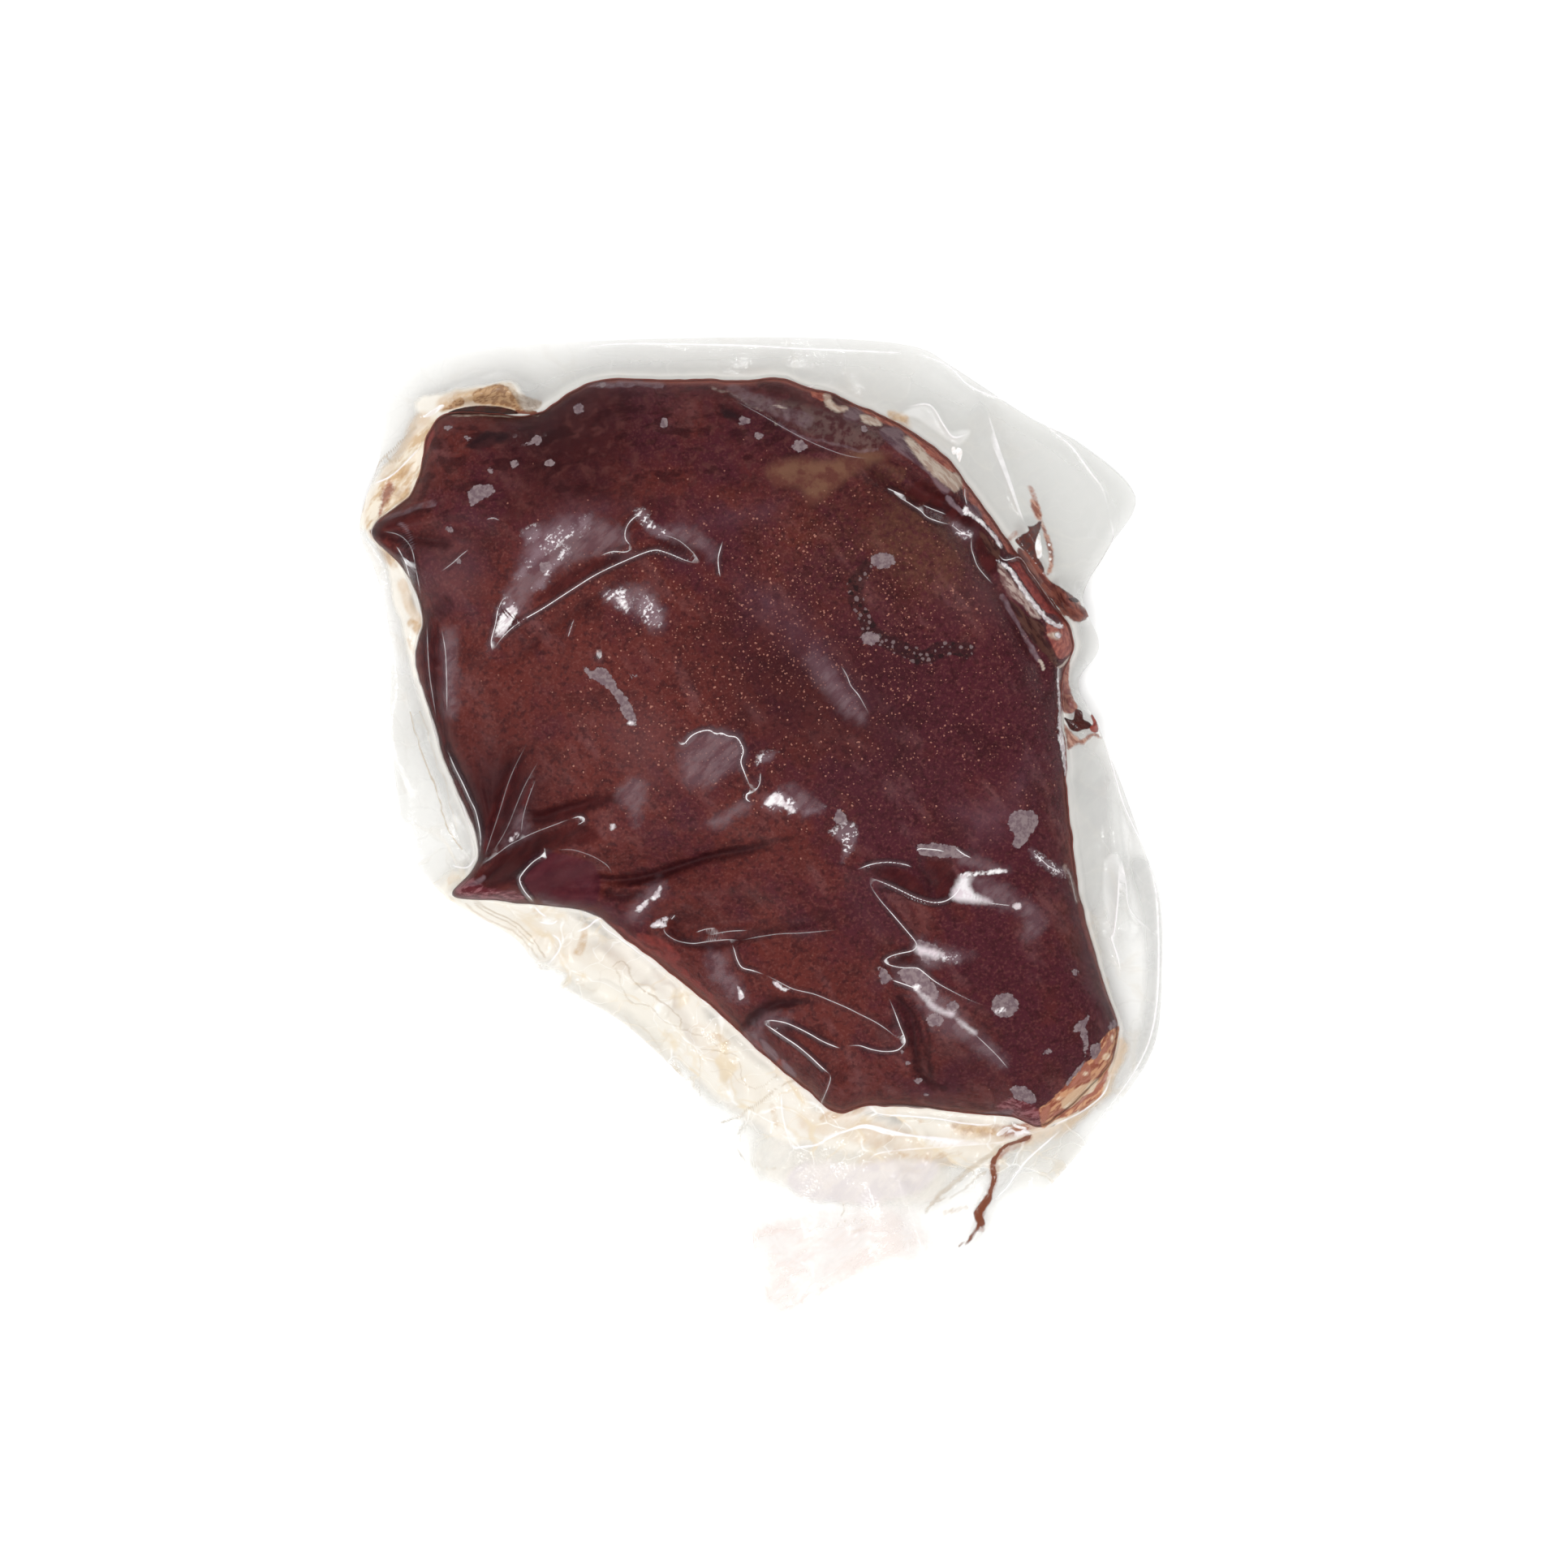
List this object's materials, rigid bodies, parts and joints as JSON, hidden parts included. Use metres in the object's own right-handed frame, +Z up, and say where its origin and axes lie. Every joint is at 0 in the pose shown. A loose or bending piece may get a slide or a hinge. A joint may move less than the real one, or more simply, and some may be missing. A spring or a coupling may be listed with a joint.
{
  "type": "raw lamb liver",
  "caption": "Raw lamb liver, one dark lobe lying flat in a clinging clear vacuum film bag with a wrinkled skirt round it.",
  "frame": {"origin": "on the ground, under the middle of the pack's box", "axes": "+Z up out of the shown side, +Y along the pack's length towards the broad end of the liver, +X to its right"},
  "size_m": [0.198, 0.2502, 0.0276],
  "materials": {
    "liver_flesh": "wet and glossy under film, dark maroon mottled with brown and purple, fine pale speckles",
    "clear_film": "clear and glossy, wrinkled, with brown and yellow stains of dried juice near the liver"
  },
  "bodies": {
    "root": {"liver": "liver_flesh", "bag_film": "clear_film"}
  },
  "joints": []
}
